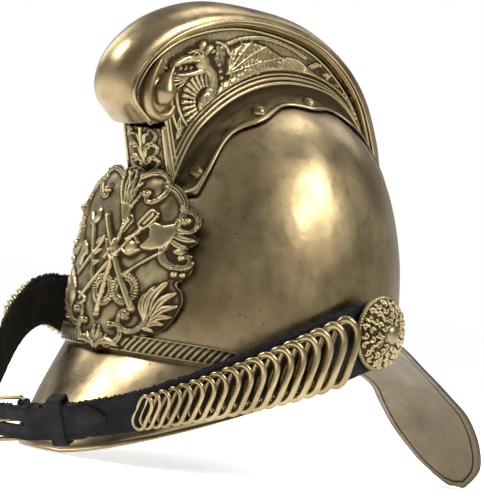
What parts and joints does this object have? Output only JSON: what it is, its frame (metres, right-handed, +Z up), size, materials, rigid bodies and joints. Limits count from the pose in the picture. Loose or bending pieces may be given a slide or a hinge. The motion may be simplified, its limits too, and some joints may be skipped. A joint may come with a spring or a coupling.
{
  "type": "firefighter helmet",
  "caption": "Victorian-style brass fire helmet: high embossed comb, front badge, peak, neck guard, leather liner, and a buckled chin strap with curb chain that swings on side rosettes.",
  "frame": {"origin": "on the surface the helmet stands on, under the middle of its outline", "axes": "+Z up; the face looks along -Y and the neck guard reaches towards +Y; +X is the wearer's left"},
  "size_m": [0.232, 0.4083, 0.2843],
  "materials": {
    "aged_brass": "aged, lightly pitted, brighter on worn edges and darker in the recesses",
    "bright_brass": "polished by wear",
    "dark_brass": "tarnished",
    "black_leather": "worn satin",
    "tan_leather": "old, matt",
    "cotton_lace": "braided"
  },
  "bodies": {
    "helmet": {"skull": "aged_brass", "front_peak": "aged_brass", "neck_guard": "aged_brass", "comb_side_left": "aged_brass", "comb_side_right": "aged_brass", "comb_hood": "aged_brass", "comb_front_plate": "aged_brass", "comb_knob_left": "aged_brass", "comb_knob_right": "aged_brass", "comb_rivets_left": "aged_brass", "comb_rivets_right": "aged_brass", "badge_plate": "aged_brass", "badge_bosses": "aged_brass", "badge_posts": "dark_brass", "brow_band": "aged_brass", "rosette_left": "aged_brass", "rosette_right": "aged_brass", "rosette_stud_left": "dark_brass", "rosette_stud_right": "dark_brass", "rosette_washers": "dark_brass", "rosette_nuts": "dark_brass", "peak_rivets": "dark_brass", "neck_guard_rivets": "aged_brass", "liner_headband": "tan_leather", "liner_tongues": "tan_leather", "liner_lace": "cotton_lace", "headband_rivets": "dark_brass"},
    "chin_strap": {"chin_strap_left": "black_leather", "chin_strap_right": "black_leather", "chain_links_left": "bright_brass", "chain_links_right": "bright_brass", "strap_keeper": "black_leather"},
    "buckle": {"buckle_frame": "bright_brass"},
    "prong": {"buckle_prong": "bright_brass"}
  },
  "joints": [
    {"name": "chin_strap_swing", "type": "hinge", "parent": "helmet", "child": "chin_strap", "pos_m": [0, 0, 0.098], "axis": [1, 0, 0], "range_deg": [-40, 75]},
    {"name": "buckle_tilt", "type": "hinge", "parent": "chin_strap", "child": "buckle", "pos_m": [0.01197, -0.18652, 0.01854], "axis": [0, -0.3919, 0.92], "range_deg": [0, 25]},
    {"name": "prong_lift", "type": "hinge", "parent": "buckle", "child": "prong", "pos_m": [0.01197, -0.18652, 0.01854], "axis": [0, -0.3919, 0.92], "range_deg": [0, 55]}
  ]
}
